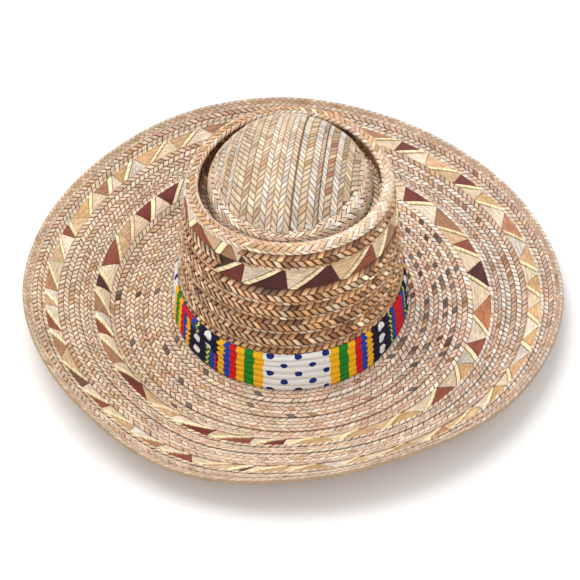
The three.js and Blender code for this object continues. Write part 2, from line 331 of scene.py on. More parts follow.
soft_light("above", (-0.6, 0.3, 2.3), 1.6, 33, (1.0, 0.98, 0.95))
soft_light("front", (0.5, -2.3, 1.4), 2.0, 9, (1.0, 0.98, 0.96))
world = bpy.data.worlds.new("studio")
scene.world = world
world.use_nodes = True
sky = world.node_tree.nodes["Background"].inputs
sky["Color"].default_value = (1, 1, 1, 1)
sky["Strength"].default_value = WORLD_STRENGTH

floor_mesh = bpy.data.meshes.new("floor")
floor_corners = [(FLOOR_HALF * x, FLOOR_HALF * y, 0) for x, y in ((-1, -1), (1, -1), (1, 1), (-1, 1))]
floor_mesh.from_pydata(floor_corners, [], [(0, 1, 2, 3)])
floor = bpy.data.objects.new("floor", floor_mesh)
scene.collection.objects.link(floor)

# %% [markdown]
# ## Shader sums
# A finish is worked out by nodes. They could be placed and linked one by one, but long sums are hard to
# read that way. Here a small class wraps a node's output, and plus, minus and times on it make the Math
# nodes.

# %% Shader sums


class Value:
    """A number that a shader's nodes work out. Each operator adds a Math node."""

    def __init__(self, tree, socket):
        self.tree = tree
        self.socket = socket

    def maths(self, operation, *others):
        """A Math node of this operation, with this value first and then the others."""
        made = self.tree.nodes.new("ShaderNodeMath")
        made.operation = operation
        for slot, value in zip(made.inputs, (self, *others)):
            put(self.tree, slot, value)
        return Value(self.tree, made.outputs[0])

    def __add__(self, other):
        return self.maths("ADD", other)

    def __radd__(self, other):
        return self.maths("ADD", other)

    def __sub__(self, other):
        return self.maths("SUBTRACT", other)

    def __rsub__(self, other):
        return self.maths("MULTIPLY", -1.0).maths("ADD", other)

    def __mul__(self, other):
        return self.maths("MULTIPLY", other)

    def __rmul__(self, other):
        return self.maths("MULTIPLY", other)

    def __truediv__(self, other):
        return self.maths("DIVIDE", other)

    def __mod__(self, other):
        return self.maths("FLOORED_MODULO", other)

    def __gt__(self, other):
        return self.maths("GREATER_THAN", other)

    def __lt__(self, other):
        return self.maths("LESS_THAN", other)

    def __abs__(self):
        return self.maths("ABSOLUTE")

    def __pow__(self, other):
        return self.maths("POWER", other)


def put(tree, socket, value):
    """Link a shader value or socket, or set a plain number or colour."""
    if isinstance(value, Value):
        tree.links.new(value.socket, socket)
    elif isinstance(value, bpy.types.NodeSocket):
        tree.links.new(value, socket)
    else:
        socket.default_value = value


def node(tree, kind, settings=None, **inputs):
    """A node of a kind, its settings first, then its inputs by name with blanks for underscores."""
    made = tree.nodes.new(kind)
    for key, value in (settings or {}).items():
        setattr(made, key, value)
    for key, value in inputs.items():
        put(tree, made.inputs[key.replace("_", " ")], value)
    return made


# %% [markdown]
# ## Colours
# Colours are written as a screen shows them, from 0 to 255, and a shader needs amounts of light. Nodes
# for this could be placed again in every finish. Small functions are shorter: they mix two colours, make
# one lighter or darker, read a stored number, and start a finish. The floor's is the first.

# %% Colours and floor finish
FULL_LIGHT = (1.0, 1.0, 1.0, 1.0)


def linear(red, green, blue):
    """Screen values as light: to 0.04045 a straight line, and above it a power of 2.4. Alpha is 1."""
    seen = np.array([red, green, blue]) / 255
    light = np.where(seen <= 0.04045, seen / 12.92, ((seen + 0.055) / 1.055) ** 2.4)
    return (*[float(v) for v in light], 1.0)


def mix(tree, share, first, second):
    """The first colour times (1 - share) plus the second times share."""
    made = node(tree, "ShaderNodeMix", {"data_type": "RGBA"})
    for index, value in ((0, share), (6, first), (7, second)):
        put(tree, made.inputs[index], value)
    return made.outputs[2]


def toned(tree, colour, bright):
    """All parts of a colour times one number."""
    made = node(tree, "ShaderNodeVectorMath", {"operation": "SCALE"}, Scale=bright)
    put(tree, made.inputs[0], colour)
    return made.outputs[0]


def stored_number(tree, name):
    """A number that the mesh stores at its points."""
    return Value(tree, node(tree, "ShaderNodeAttribute", {"attribute_name": name}).outputs["Fac"])


def new_finish(name):
    """A new material, its nodes and its main shader."""
    material = bpy.data.materials.new(name)
    material.use_nodes = True
    return material, material.node_tree, material.node_tree.nodes["Principled BSDF"]


floor_finish, _, floor_shader = new_finish("pale floor")
floor_shader.inputs["Base Color"].default_value = (0.9, 0.9, 0.9, 1)
floor_shader.inputs["Roughness"].default_value = 0.9
floor_mesh.materials.append(floor_finish)
print("mid grey of a screen, as light:", round(linear(128, 128, 128)[0], 3))

# %% [markdown]
# ## Straw finish
# A dry palm straw is matt, with fine fibres along it, and no two have the same colour. One material with
# a noise for everything would give all straws one colour. So each straw stores its own tint in the mesh,
# and the finish adds fibres, broad patches and small specks. Where a straw dips between its neighbours it
# stores a shade, which mixes the tint towards a warm dark, because light that reaches there has met straw
# before.

# %% Straw finish
DEEP_SHADE = (0.13, 0.05, 0.0, 1.0)


def noise_value(tree, place, scale, detail, roughness=0.5, settings=None):
    """A soft random number from 0 to 1, with scale times as many spots to a unit of the place."""
    made = node(tree, "ShaderNodeTexNoise", settings, Vector=place, Scale=scale, Detail=detail,
                Roughness=roughness)
    return Value(tree, made.outputs["Fac"])


def straw_finish(name, fibre=0.3, streaks=(0.25, 3.2), ribs=(0.0, 0.0, 0.0)):
    """Tint times shade times (1 + fibres + patches + specks + ribs), with the fibres as bump.

    streaks are the numbers of fibres in a mm along and across the straw. ribs are their strength and their
    numbers in a mm along and across.
    """
    material, tree, shader = new_finish(name)
    tint = node(tree, "ShaderNodeAttribute", {"attribute_name": "tint"}).outputs["Color"]
    grain = node(tree, "ShaderNodeUVMap", {"uv_map": "grain"}).outputs["UV"]
    stretched = node(tree, "ShaderNodeMapping", Vector=grain, Scale=(*streaks, 1)).outputs[0]
    fibres = noise_value(tree, stretched, 1.0, 3.0, 0.6, {"noise_dimensions": "2D"})
    place = node(tree, "ShaderNodeTexCoord").outputs["Object"]
    patches = noise_value(tree, place, 38.0, 4.0)
    specks = noise_value(tree, place, 420.0, 1.0)
    bright = 1 + (fibres - 0.5) * (2 * fibre) + (patches - 0.5) * 0.4 + (specks - 0.5) * 0.45
    strength, rate_along, rate_across = ribs
    if strength:
        split = node(tree, "ShaderNodeSeparateXYZ", Vector=grain)
        along, across = Value(tree, split.outputs["X"]), Value(tree, split.outputs["Y"])
        line = abs((along * rate_along + across * rate_across + fibres * 0.6) % 1.0 - 0.5) * 2.0
        bright = bright + (line - 0.5) * strength
    shaded = node(tree, "ShaderNodeVectorMath", {"operation": "MULTIPLY"})
    put(tree, shaded.inputs[0], tint)
    put(tree, shaded.inputs[1], mix(tree, stored_number(tree, "shade"), DEEP_SHADE, FULL_LIGHT))
    put(tree, shader.inputs["Base Color"], toned(tree, shaded.outputs[0], bright))
    put(tree, shader.inputs["Roughness"], 0.55 + (fibres - 0.5) * 0.2)
    bump = node(tree, "ShaderNodeBump", Strength=0.35, Distance=0.0002, Height=fibres)
    put(tree, shader.inputs["Normal"], bump.outputs[0])
    shader.inputs["Specular IOR Level"].default_value = 0.35
    return material


finishes = {slot: straw_finish(slot) for slot in ("brim_straw", "crown_straw")}
finishes["tip_straw"] = straw_finish("tip_straw", ribs=(0.22, 0.0, 0.42))
finishes["insert_straw"] = straw_finish("insert_straw", fibre=0.75, streaks=(0.7, 0.12),
                                        ribs=(0.3, 0.6, 0.12))
print("straw finishes:", sorted(finishes))

# %% [markdown]
# ## Closed shapes
# Two shapes make nearly all the straw: a ring that backs each run of rows, and the straws on it. Both are
# grids of points with four-cornered faces. Their faces could be turned by hand in edit mode. Here the sign
# of the volume that they close tells which way they point. The dome's strips have a backing of their own.

# %% Closed shapes


def grid_quads(rows, columns, wrap_rows, wrap_columns):
    """Corner numbers of the quads of a grid of points, where a point's is row times columns plus column."""
    r = np.arange(rows if wrap_rows else rows - 1)[:, None]
    c = np.arange(columns if wrap_columns else columns - 1)[None, :]
    r1, c1 = (r + 1) % rows, (c + 1) % columns
    corners = (r * columns + c, r1 * columns + c, r1 * columns + c1, r * columns + c1)
    return np.stack(np.broadcast_arrays(*corners), -1).reshape(-1, 4)


def closed_part(points, quads, grain, tint, shade):
    """Points and outward quads, with the grain's place by corner, the tint by quad and the shade by point.

    The quads are turned round if the volume that they close is negative. It is a sixth of the sum, over all
    triangles, of the first corner times the cross product of the others. Only its sign is used.
    """
    a, b, c, d = [points[quads[:, i]] for i in range(4)]
    if np.einsum("ij,ij->i", a, np.cross(b, c) + np.cross(c, d)).sum() < 0:
        quads, grain = quads[:, ::-1], grain[:, ::-1]
    return {"points": points, "quads": quads, "grain": grain, "tint": tint, "shade": shade}


def refined(outline, longest):
    """The closed outline with points added, so that no side is longer than that."""
    corners = np.array(outline, float)
    sides = np.roll(corners, -1, 0) - corners
    counts = np.maximum(1, np.ceil(np.hypot(*sides.T) / longest).astype(int))
    return np.concatenate([c + s * (np.arange(n) / n)[:, None] for c, s, n in zip(corners, sides, counts)])


def ring(place, outline, tint, turns=240, longest=2.5):
    """A closed outline of (across, lift), laid on the surface at each of the turns round the hat."""
    outline = refined(outline, longest)
    sides = len(outline)
    across, lift = outline.T
    angle = np.linspace(0, TURN, turns, endpoint=False)
    points = place(angle[:, None], across[None, :], lift[None, :]).reshape(-1, 3)
    quads = grid_quads(turns, sides, True, True)
    grain = np.zeros((len(quads), 4, 2))
    grain[:, :, 0] = (np.repeat(np.arange(turns), sides)[:, None] + np.array([0, 1, 1, 0])) * 1.7
    grain[:, :, 1] = (np.tile(np.arange(sides), turns)[:, None] + np.array([0, 0, 1, 1])) * 1.1
    return closed_part(points, quads, grain, np.tile(tint[:3], (len(quads), 1)), np.ones(len(points)))


print("quads of a closed grid of 3 by 4 points:", len(grid_quads(3, 4, True, True)))

# %% [markdown]
# ## Straws
# A flat straw is a thin strip between two edges on a surface. Its top is level and a little higher than
# its borders, its ends dip under its neighbours, and a lower face closes it. Each could be a stretched
# cube, but there are tens of thousands, so all the straws of a column are worked out at once.

# %% Straws
rng = np.random.default_rng(7)
STRAW_DEPTH = 0.12
# Painted shade: the shade of a straw's sides on the near side of the hat
NEAR_SIDE_SHADE = 0.85
END_SHADE = 0.85


def strip_template(along, across):
    """Quads of one straw: an upper grid, and a lower one that shares the upper one's border."""
    upper = np.arange(along * across).reshape(along, across)
    lower = upper.copy()
    lower[1:-1, 1:-1] = along * across + np.arange((along - 2) * (across - 2)).reshape(along - 2, across - 2)

    def cells(grid):
        """The quads between the points of a grid of numbers."""
        return np.stack([grid[:-1, :-1], grid[1:, :-1], grid[1:, 1:], grid[:-1, 1:]], -1).reshape(-1, 4)

    return np.concatenate([cells(upper), cells(lower)[:, ::-1]])


def straws(place, left, right, across, base, tint, height=0.5, dip=0.32, sink=0.4, face=1.0, pitch=5.0,
           stops=(0, 0.14, 0.86, 1), sides=(0, 0.18, 0.82, 1), arch=0.0, tilt=0.0, border=0.5, shadow=None,
           near_share=0.0):
    """Flat straws, whose lift is base plus face times (height + arch - sink - drop).

    The arch is highest in the middle. The drop is dip times the cube of the way from the middle to an end,
    plus tilt times the way across.

    left and right are the angles of each one's two edges at its start and end, across its start and end over
    the surface, and base the lift there. stops and sides are the shares of its length and width that have
    points. border is the painted shade at its sides, and shadow gives places across and their painted shade.
    On the near side of the hat, near_share from 0 to 1, painted shade makes their sides paler and their ends
    darker.
    """
    left, right, across, base = [np.asarray(v, float) for v in (left, right, across, base)]
    count = len(left)
    a = np.array(stops, float)[None, :, None]
    b = np.array(sides, float)[None, None, :]

    def along(pair):
        """The value at each stop, in a straight line from the start's to the end's."""
        return pair[:, 0, None, None] + (pair[:, 1] - pair[:, 0])[:, None, None] * a

    angle = along(left) * (1 - b) + along(right) * b
    over = along(across) + 0 * b
    inner = (a > 0) & (a < 1) & (b > 0) & (b < 1)
    drop = dip * np.abs(2 * a - 1) ** 3 + tilt * (0.5 - b)
    top = np.where(inner, height + arch * (1 - np.abs(2 * b - 1)), 0) - sink - drop
    bottom = np.broadcast_to(-sink - drop - STRAW_DEPTH, top.shape)
    upper = place(angle, over, along(base) + face * top)
    lower = place(angle, over, along(base) + face * bottom)[:, 1:-1, 1:-1]
    points = np.concatenate([upper.reshape(count, -1, 3), lower.reshape(count, -1, 3)], 1)
    size = points.shape[1]

    # painted shade: on the near side the sides are paler and the ends darker
    near_share = np.broadcast_to(near_share, count)[:, None, None]
    side_shade = border + (NEAR_SIDE_SHADE - border) * near_share
    end_shade = border * END_SHADE * (1 - 0.6 * near_share)
    shade = np.where(inner, 1.0, np.where((a > 0) & (a < 1), side_shade, end_shade)) * np.ones(angle.shape)
    if shadow:
        shade = shade * np.interp(over, *shadow)
    shade = np.concatenate([shade.reshape(count, -1), np.full((count, lower[0].size // 3), border)], 1)

    template = strip_template(len(stops), len(sides))
    quads = (template[None] + (np.arange(count) * size)[:, None, None]).reshape(-1, 4)
    width = np.broadcast_to(b * pitch, angle.shape) + rng.uniform(0, 900, count)[:, None, None]
    uv = np.stack([np.broadcast_to(over, angle.shape), width], -1).reshape(count, -1, 2)
    uv = np.concatenate([uv, uv[:, :size - uv.shape[1]]], 1).reshape(-1, 2)
    tint = np.repeat(np.asarray(tint)[:, :3], len(template), 0)
    return closed_part(points.reshape(-1, 3), quads, uv[quads], tint, shade.ravel())


print("triangles of the plainest straw:", 2 * len(strip_template(4, 4)))

# %% [markdown]
# ## Pieces
# A piece of the hat is one mesh of many closed shapes. Joining thousands of objects would be slow, so the
# arrays are joined first and put into the mesh in one go. The piece stands for its node of the measured
# model, rides on the same body and keeps its slot.

# %% Pieces


def make_piece(node_name, parts, slot, kind="plait", smooth=False):
    """One object from closed parts, in metres, that stands for a node of the measured model."""
    name = f"{node_name}_{kind}"
    starts = np.cumsum([0] + [len(p["points"]) for p in parts])
    points = (np.concatenate([p["points"] for p in parts]) + SHIFT) / 1000
    quads = np.concatenate([p["quads"] + start for p, start in zip(parts, starts)])
    mesh = bpy.data.meshes.new(name)
    mesh.vertices.add(len(points))
    mesh.vertices.foreach_set("co", points.astype(np.float32).ravel())
    mesh.loops.add(quads.size)
    mesh.loops.foreach_set("vertex_index", quads.astype(np.int32).ravel())
    mesh.polygons.add(len(quads))
    mesh.polygons.foreach_set("loop_start", np.arange(0, quads.size, 4, dtype=np.int32))
    mesh.update(calc_edges=True)
    grain = mesh.uv_layers.new(name="grain")
    grain.data.foreach_set("uv", np.concatenate([p["grain"] for p in parts]).astype(np.float32).ravel())
    colour = np.concatenate([p["tint"] for p in parts])
    colour = np.concatenate([colour, np.ones((len(colour), 1))], 1)
    tint = mesh.attributes.new("tint", "FLOAT_COLOR", "FACE")
    tint.data.foreach_set("color", colour.astype(np.float32).ravel())
    shade = mesh.attributes.new("shade", "FLOAT", "POINT")
    shade.data.foreach_set("value", np.concatenate([p["shade"] for p in parts]).astype(np.float32))
    mesh.polygons.foreach_set("use_smooth", np.full(len(quads), smooth))
    mesh.materials.append(finishes[slot])
    piece = bpy.data.objects.new(name, mesh)
    scene.collection.objects.link(piece)
    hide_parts(node_name)
    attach(piece, "root")
    print(f"{name}: {2 * len(quads)} triangles")
    return piece


# %% [markdown]
# ## Straw colours
# Natural straw goes from cream over tan to brown, and the leaf of the decorative rounds is dyed as well.
# One colour with noise would miss that neighbours differ, so each straw draws its tint from a short list.

# %% Straw colours
TINTS = {
    "cream": (236, 216, 188), "white": (228, 216, 204), "pink": (216, 184, 160), "tan": (196, 158, 122),
    "gold": (196, 158, 108), "brown": (160, 116, 84), "umber": (104, 70, 52), "grey": (186, 172, 158),
    "slate": (112, 98, 90), "rose": (200, 168, 148), "rust": (172, 118, 88), "amber": (200, 160, 116),
    "honey": (190, 148, 104), "orange": (176, 112, 72), "fawn": (224, 200, 168), "maroon": (108, 44, 36),
    "dark maroon": (74, 28, 28), "red brown": (138, 72, 52), "beige": (214, 192, 162),
    "straw": (246, 226, 182), "pale leaf": (226, 206, 182), "grey leaf": (206, 194, 180),
    "tan leaf": (208, 176, 136),
}
# Painted shade: the backing rings are coloured dark as the shade in the gaps between straws, darkest on the
# crown and palest under the dome's strips.
GAP_SHADE = linear(92, 66, 48)
CROWN_GAP_SHADE = linear(66, 42, 28)
TIP_GAP_SHADE = linear(112, 84, 62)


def palette(names):
    """The tints of these names as rows of light."""
    return np.array([linear(*TINTS[name]) for name in names])


def pick(names, weights, count, spread):
    """Tints drawn at random by weight, each times the exponential of a normal number."""
    chosen = palette(names)[rng.choice(len(names), count, p=np.array(weights) / np.sum(weights))]
    return chosen * np.exp(rng.normal(0, spread, (count, 1)))


print("tints:", len(TINTS))

# %% [markdown]
# ## Plaited rows
# A flat plait shows columns of slanted straws that lean one way and the other in turn. Threads that
# really go over and under each other would need many times the points and look the same from a step away.
# So each column is a set of leaning strips whose ends dip, and each strip rides a little over the one
# before.

# %% Plaited rows
WALL = 2.2
PITCH = 5.2
LEAN = 0.75
UNEVEN = 0.04
HALF_STRAW = 0.47
NEAR_SIDE_WIDER = 0.035
OVERLAP = 0.07
UNDER_LIFTS = (-WALL + 0.2, -WALL + 0.2)
UNDER_FORM = {"face": -1.0, "height": 0.25, "sink": 0.05, "dip": 0.04, "tilt": 0.06, "border": 0.6}


def plait(place, borders, count, lean, lifts, tints, keep=None, tilt=0.3, near_side=None, **form):
    """One row of plaited straw: each column's straws are a pitch apart and lean by lean pitches.

    borders are the places between the columns, and lifts the surface's lift from the first to the last. keep
    picks the directions that have straws, and near_side gives a direction's share of the near side, with
    wider straws and painted shade.
    """
    pitch = TURN / count
    parts = []
    for column, (start, end) in enumerate(zip(borders[:-1], borders[1:])):
        middle = (np.arange(count) + 0.5 * (column % 2)) * pitch
        slope = lean * pitch * (1 if column % 2 else -1) / 2
        if keep is not None:
            middle = middle[keep(middle % TURN)]
        near_share = near_side(middle) if near_side else np.zeros(len(middle))
        half = (pitch * (HALF_STRAW + NEAR_SIDE_WIDER * near_share))[:, None]
        uneven = rng.normal(0, UNEVEN * pitch, (len(middle), 2))
        left = np.stack([middle - slope, middle + slope], 1) - half + uneven
        overlap = OVERLAP * (end - start)
        across = np.tile([start - overlap, end + overlap], (len(middle), 1))
        base = np.interp(across, np.linspace(borders[0], borders[-1], len(lifts)), lifts)
        base = base + rng.normal(0, UNEVEN, (len(middle), 1))
        parts.append(straws(place, left, left + 2 * half, across, base, tints(column, middle), tilt=tilt,
                            near_share=near_share, **form))
    return parts


def round_count(place, across, pitch):
    """How many straws of a pitch go round the hat there: the way round over the pitch."""
    angle = np.linspace(0, TURN, 361)
    points = place(angle, np.full(361, float(across)), np.zeros(361))
    return int(round(np.linalg.norm(np.diff(points, axis=0), axis=1).sum() / pitch))


print("straws of a pitch round the rim:", round_count(brim, BRIM_REACH, PITCH))

# %% [markdown]
# ## Brim colours
# The left side of the brim is creamy and the right side pinkish, and dark straws are scattered next to
# the crown. A second material could be blended in, but the drawn tints follow the direction just as well.

# %% Brim colours


def brim_tints(column, angle):
    """Pale straws lean one way, tan ones the other. The left lists fade into the right ones by the cosine."""
    count, right = len(angle), (0.5 + 0.5 * np.cos(angle))[:, None]
    left = (1 - right) * np.array([1.06, 1.08, 1.12, 1.0])
    if column % 2:
        return (pick(["tan", "honey", "beige", "pink"], [3, 0.5, 4, 4], count, 0.11) * left
                + pick(["rose", "pink", "tan", "brown"], [5, 4, 1, 0.6], count, 0.13) * right * 0.93)
    return (pick(["fawn", "beige", "pink", "tan"], [3, 4, 2, 1], count, 0.1) * left
            + pick(["white", "pink", "grey leaf", "cream"], [5, 4, 1, 1], count, 0.1) * right)


def near_side_share(angle):
    """The share of the near side, 0 to 1, by minus the sine. There painted shade pales the straws' sides and
    darkens their ends, so that the columns look like ropes.
    """
    return np.clip((-np.sin(angle) - 0.6) / 0.3, 0, 1)


def inner_tints(column, angle):
    """The same, brighter at the right by the cosine as painted light where the crown's shadow falls, with
    dark straws there and a few at the near left.
    """
    side = np.cos(angle)
    tints = brim_tints(column, angle) * (1.06 + 0.1 * side + 0.05 * side ** 2)[:, None]
    degrees = np.degrees(angle) % 360
    near_left = (degrees > 205) & (degrees < 232)
    share = np.where((degrees > 318) | (degrees < 62), 0.2, 0.015) + 0.07 * near_left
    dark = rng.random(len(angle)) < share * (column % 2 == 1)
    tints[dark] = pick(["slate", "umber"], [5, 1], int(dark.sum()), 0.25)
    return tints


def rim_tints(column, angle):
    """The brim's tints, a seventh darker."""
    return 0.86 * brim_tints(column, angle)


print("pressed at the nearest point:", near_side_share(-TURN / 4))

# %% [markdown]
# ## Brim rows
# The brim is sewn from the crown outwards, and each row starts under the one before, which leaves a dark
# line, deepened by painted shade at the start of each row that is tucked under. The gaps could be left open,
# but light would come through. So a stepped ring, dark as painted shade in the gaps, backs each run of rows,
# and the straws stand a little proud of it above and below.

# %% Brim rows
ROW_STEP = 0.8
CLEAR = 0.15
TOP_SINK = 0.35
BACK_LIFT = -WALL + 0.3
BRIM_FORM = {"stops": (0, 0.2, 0.8, 1), "border": 0.47}
BRIM_PIECES = {
    # places between the columns, row by row, in mm from the seam
    "brim_inner_rows": [np.linspace(0, 11, 4), np.linspace(11, 25, 5), np.linspace(25, 39, 5),
                        np.linspace(39, 51, 4)],
    "brim_middle_rows": [np.linspace(67, 76, 4), np.linspace(76, 92.4, 5)],
    "brim_outer_row": [np.linspace(105, 112.5, 3)],
}


def lapped_outline(rows, first_tuck):
    """The stepped outline of a run of rows: each one ends a step higher than the next one starts."""
    start, end = rows[0][0] + CLEAR, rows[-1][-1] - CLEAR
    top = [(start, -first_tuck - TOP_SINK)]
    for row in rows:
        stop = min(row[-1], end)
        top += [(stop, -TOP_SINK), (stop, -ROW_STEP - TOP_SINK)]
    top.pop()
    under = [(row[0] if i else start, BACK_LIFT) for i, row in reversed(list(enumerate(rows)))]
    return top + [(end, BACK_LIFT)] + under


for name, rows in BRIM_PIECES.items():
    innermost = name == "brim_inner_rows"
    own_tints = inner_tints if innermost else brim_tints
    parts = [ring(brim, lapped_outline(rows, 0 if innermost else ROW_STEP), GAP_SHADE)]
    for borders in rows:
        start, end = borders[0], borders[-1]
        count = round_count(brim, borders.mean(), PITCH)
        tuck = 0 if start == 0 else ROW_STEP
        shadow = ([start, start + 0.8, start + 1.8], [0.5, 0.75, 1.0]) if tuck else None
        parts += plait(brim, borders, count, LEAN, (-tuck, 0), own_tints, shadow=shadow, near_side=near_side_share,
                       **BRIM_FORM)
        under = np.linspace(start + 0.6, end - 0.6, len(borders))
        parts += plait(brim, under, count, LEAN, UNDER_LIFTS, brim_tints, **UNDER_FORM)
    make_piece(name, parts, "brim_straw")

# %% [markdown]
# ## Rim
# The last row is folded over into a smooth soft rim. A bevel on the brim's edge would round it but leave
# it thin. So the ring's outline has a round swollen end, and short straws wrap round its outside.

# %% Rim
RIM_START = 112.5
RIM_TINT = linear(168, 138, 108)
bend = np.linspace(np.pi / 2, -np.pi / 2, 9)
rim_outline = [(RIM_START + CLEAR, -ROW_STEP)]
rim_outline += [(118.7 + 1.3 * math.cos(b), -1.1 + 1.4 * math.sin(b)) for b in bend]
rim_outline += [(RIM_START + CLEAR, -WALL)]
rim_count = round_count(brim, 116, 5.0)
parts = [ring(brim, rim_outline, RIM_TINT, TURN_STEPS)]
parts += plait(brim, [RIM_START, 115.0, 117.5], rim_count, 0.6, (-0.5, 0.2), rim_tints)
parts += plait(brim, [117.5, 119.9], rim_count, 0.6, (0.45, 0.5), rim_tints, sink=0.3, dip=0.6)
parts += plait(brim, [113.1, 116.0, 119.0], rim_count, LEAN, (-WALL - 0.05, -WALL - 0.32), rim_tints,
               **UNDER_FORM)
make_piece("brim_edge", parts, "brim_straw")

# %% [markdown]
# ## Decorative leaves
# Three rounds are of folded leaf: pale straws cross them aslant, and on each side of a straw lies a
# three-cornered leaf. A repeating picture would make them all alike, and the real ones are not. So a
# chart gives each straw's direction and the colour of its leaf, and the leaves are wide strips that end
# in a point.

# %% Decorative leaves
LEAF_STOPS = (0.0, 0.04, 0.3, 0.5, 0.7, 0.96, 1.0)
CROSS_FORM = {"stops": LEAF_STOPS, "sides": (0, 0.15, 0.5, 0.85, 1), "height": 1.15, "sink": 0.4, "dip": 0.35,
              "arch": 0.25, "border": 0.4}
LEAF_FORM = {"stops": LEAF_STOPS, "sides": (0, 0.04, 0.35, 0.65, 0.96, 1), "dip": 0.05, "pitch": 14}
CROSS_WIDTH = 5.7
LEAF_GAP = 0.3


def leaf_tints(names):
    """The tints of these names, each times the exponential of a normal number."""
    return palette(names) * np.exp(rng.normal(0, 0.06, (len(names), 1)))


def leaves(place, start, end, crossings, first, second, lifts, closed=True):
    """From each crossing to the next a pale straw and two leaves, which fill the way between as triangles.

    crossings are the angles of each straw's middle at the start edge and the end edge. The first leaf has its
    base on the start edge and the second on the end edge. An open run has one more crossing than leaves.
    """
    here = np.array(crossings, float)
    if closed:
        here = np.concatenate([here, here[:1] + TURN])
    here, after = here[:-1], here[1:]
    count = len(here)
    one_mm = TURN / round_count(place, (start + end) / 2, 1.0)
    width, gap = CROSS_WIDTH * one_mm, LEAF_GAP * one_mm
    here, after = here - width / 2, after - width / 2
    across = np.tile([start, end], (count, 1))
    base = np.tile(lifts, (count, 1))
    right = here + width
    first_corner = np.stack([after[:, 0] - gap, right[:, 1] + 2 * gap], 1)
    first_edge = np.maximum(first_corner, right + 1.5 * gap)
    second_edge = np.stack([after[:, 0] - gap, right[:, 1] + 3 * gap], 1)
    return [
        straws(place, here, right, across, base, pick(["straw"], [1], count, 0.08), **CROSS_FORM),
        straws(place, right + gap, first_edge, across, base, first, height=0.45, sink=0.45, border=0.55,
               **LEAF_FORM),
        straws(place, second_edge, after - gap, across, base, second, height=0.3, sink=0.5, border=0.6,
               **LEAF_FORM),
    ]


def leaf_round(name, place, start, end, leaf_parts, lifts):
    """A decorative round: a backing ring, its leaves, and plait on the inner or under side."""
    outline = [(start + CLEAR, lifts[0] - 0.6), (end - CLEAR, lifts[1] - 0.6), (end - CLEAR, BACK_LIFT),
               (start + CLEAR, BACK_LIFT)]
    under = np.linspace(start + 0.6, end - 0.6, 5)
    count = round_count(place, (start + end) / 2, PITCH)
    parts = [ring(place, outline, CROWN_GAP_SHADE)] + leaf_parts
    parts += plait(place, under, count, LEAN, UNDER_LIFTS, brim_tints, **UNDER_FORM)
    make_piece(name, parts, "insert_straw")


print("quads of one leaf:", len(strip_template(len(LEAF_STOPS), len(LEAF_FORM["sides"]))))

# %% [markdown]
# ## Decorative rounds of the brim
# On the brim the coloured leaves have their base on the outer edge and the pale ones on the inner edge,
# and a narrow column of plait closes the outer edge. Drawing lots for the colours would lose the real
# order, so the charts go once round by the far side.

# %% Decorative rounds of the brim


def mirrored(place):
    """The same surface with its angle run the other way."""
    return lambda angle, across, lift: place(-angle, across, lift)


def brim_round(name, start, end, chart, slant):
    """A round of the brim: straws run from their direction at the outer edge to slant degrees further on."""
    rows = sorted(chart, key=lambda row: -row[0])
    wander = rng.normal(0, 0.9, (len(rows), 2))
    outer = -np.radians([row[0] for row in rows])
    crossings = np.stack([outer - np.radians(slant), outer], 1) + np.radians(wander)
    coloured = [row[1] for row in rows]
    pales = [PALES[i % len(PALES)] for i in range(len(rows))]
    column = plait(brim, [end - 2.2, end + 0.1], round_count(brim, end, PITCH), 0.5, (0.15, 0.1), brim_tints)
    pale_tints = leaf_tints(pales)
    coloured_tints = leaf_tints(coloured[1:] + coloured[:1])
    lapped = (-ROW_STEP, 0)
    crossed = leaves(mirrored(brim), start, end - 1.8, crossings, pale_tints, coloured_tints, lapped)
    leaf_round(name, mirrored(brim), start, end, crossed + column, lapped)


PALES = ["beige", "pale leaf", "grey leaf", "beige", "pale leaf", "tan leaf"]
INNER_ROUND = [
    # direction of the straw's outer end in degrees, and its leaf
    (14.5, "red brown"), (24.5, "brown"), (40.5, "maroon"), (53, "tan"), (63, "red brown"), (73, "amber"),
    (83, "maroon"), (93, "brown"), (103, "red brown"), (113, "tan"), (123, "maroon"), (133.5, "maroon"),
    (146, "tan"), (157, "red brown"), (169.5, "dark maroon"), (180, "brown"), (190, "red brown"),
    (200, "brown"), (211.5, "maroon"), (228, "tan"), (237, "maroon"), (249.5, "red brown"), (259, "maroon"),
    (269, "gold"),
    (281, "tan"), (293, "gold"), (307, "red brown"), (320, "amber"), (330, "red brown"), (342.5, "orange"),
    (359.5, "dark maroon"),
]
OUTER_ROUND = [
    (3.5, "amber"), (14, "rust"), (28, "gold"), (37, "maroon"), (47, "tan"), (55, "maroon"), (64, "brown"),
    (73.5, "gold"), (83, "red brown"), (92, "tan"), (101, "brown"), (111.5, "tan"), (120.5, "amber"),
    (129, "gold"), (137.5, "brown"), (146.5, "gold"), (155, "red brown"), (164.5, "tan leaf"), (173, "brown"),
    (182, "tan"), (190, "red brown"), (197.5, "brown"), (208, "umber"), (219, "red brown"), (227, "tan"),
    (234, "brown"), (242, "red brown"), (250, "tan leaf"), (256, "dark maroon"), (262, "amber"),
    (269, "gold"),
    (278, "tan leaf"), (287, "tan"), (296, "rust"), (305.5, "tan leaf"), (314.5, "gold"), (324, "amber"),
    (334, "gold"), (344, "amber"), (354, "gold"),
]
brim_round("brim_inner_insert", 51, 67, INNER_ROUND, 7.6)
brim_round("brim_outer_insert", 92.4, 105, OUTER_ROUND, 5.6)

# %% [markdown]
# ## Crown rows
# The wall of the crown is sewn the same way from the brim up, and each row's lower edge laps over the row
# below. Here the straws are darker, stand higher and throw deeper shadows than on the brim, and painted shade
# darkens their borders and the top of each row under the next row's edge. A narrow pale column runs along the
# lower edge of each row. It could be a cord, but the real one is plait too.

# %% Crown rows
CROWN_SINK = 0.45
CROWN_PITCH = 5.7
CORD_WIDTH = 1.7
CROWN_FORM = {"height": 0.75, "tilt": 0.5, "border": 0.06, "stops": (0, 0.2, 0.8, 1),
              "sides": (0, 0.3, 0.7, 1)}


